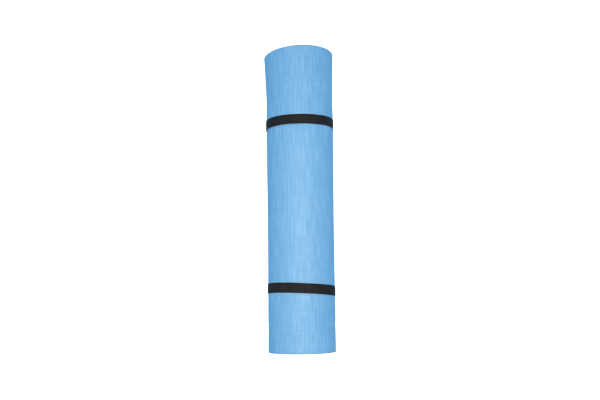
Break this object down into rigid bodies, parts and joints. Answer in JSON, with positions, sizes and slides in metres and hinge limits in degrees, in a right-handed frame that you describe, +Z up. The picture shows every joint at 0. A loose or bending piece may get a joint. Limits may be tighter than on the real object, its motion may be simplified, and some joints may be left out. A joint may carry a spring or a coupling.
{
  "type": "rolled foam sleeping pad",
  "caption": "Closed-cell foam sleeping pad with a pressed grid surface, rolled up and held shut by flat elastic bands with sewn overlaps.",
  "frame": {"origin": "middle of the overall box in X and Y, on the surface that the roll stands on", "axes": "+Z up along the roll's own axis, -Y towards the front, with the sheet's free edge at the back"},
  "size_m": [0.1368, 0.1406, 0.6],
  "materials": {
    "foam": "matt closed-cell foam with a fine pressed grid",
    "elastic": "matt woven black elastic",
    "thread": "black sewing thread"
  },
  "bodies": {
    "mat": {"foam_mat": "foam"},
    "upper_band": {"upper_elastic_band": "elastic", "upper_band_thread_left": "thread", "upper_band_thread_right": "thread"},
    "lower_band": {"lower_elastic_band": "elastic", "lower_band_thread_left": "thread", "lower_band_thread_right": "thread"}
  },
  "joints": [
    {"name": "upper_band_slide", "type": "slide", "parent": "mat", "child": "upper_band", "axis": [0, 0, 1], "range_m": [-0.17, 0.055]},
    {"name": "lower_band_slide", "type": "slide", "parent": "mat", "child": "lower_band", "axis": [0, 0, 1], "range_m": [-0.08, 0.13]}
  ]
}
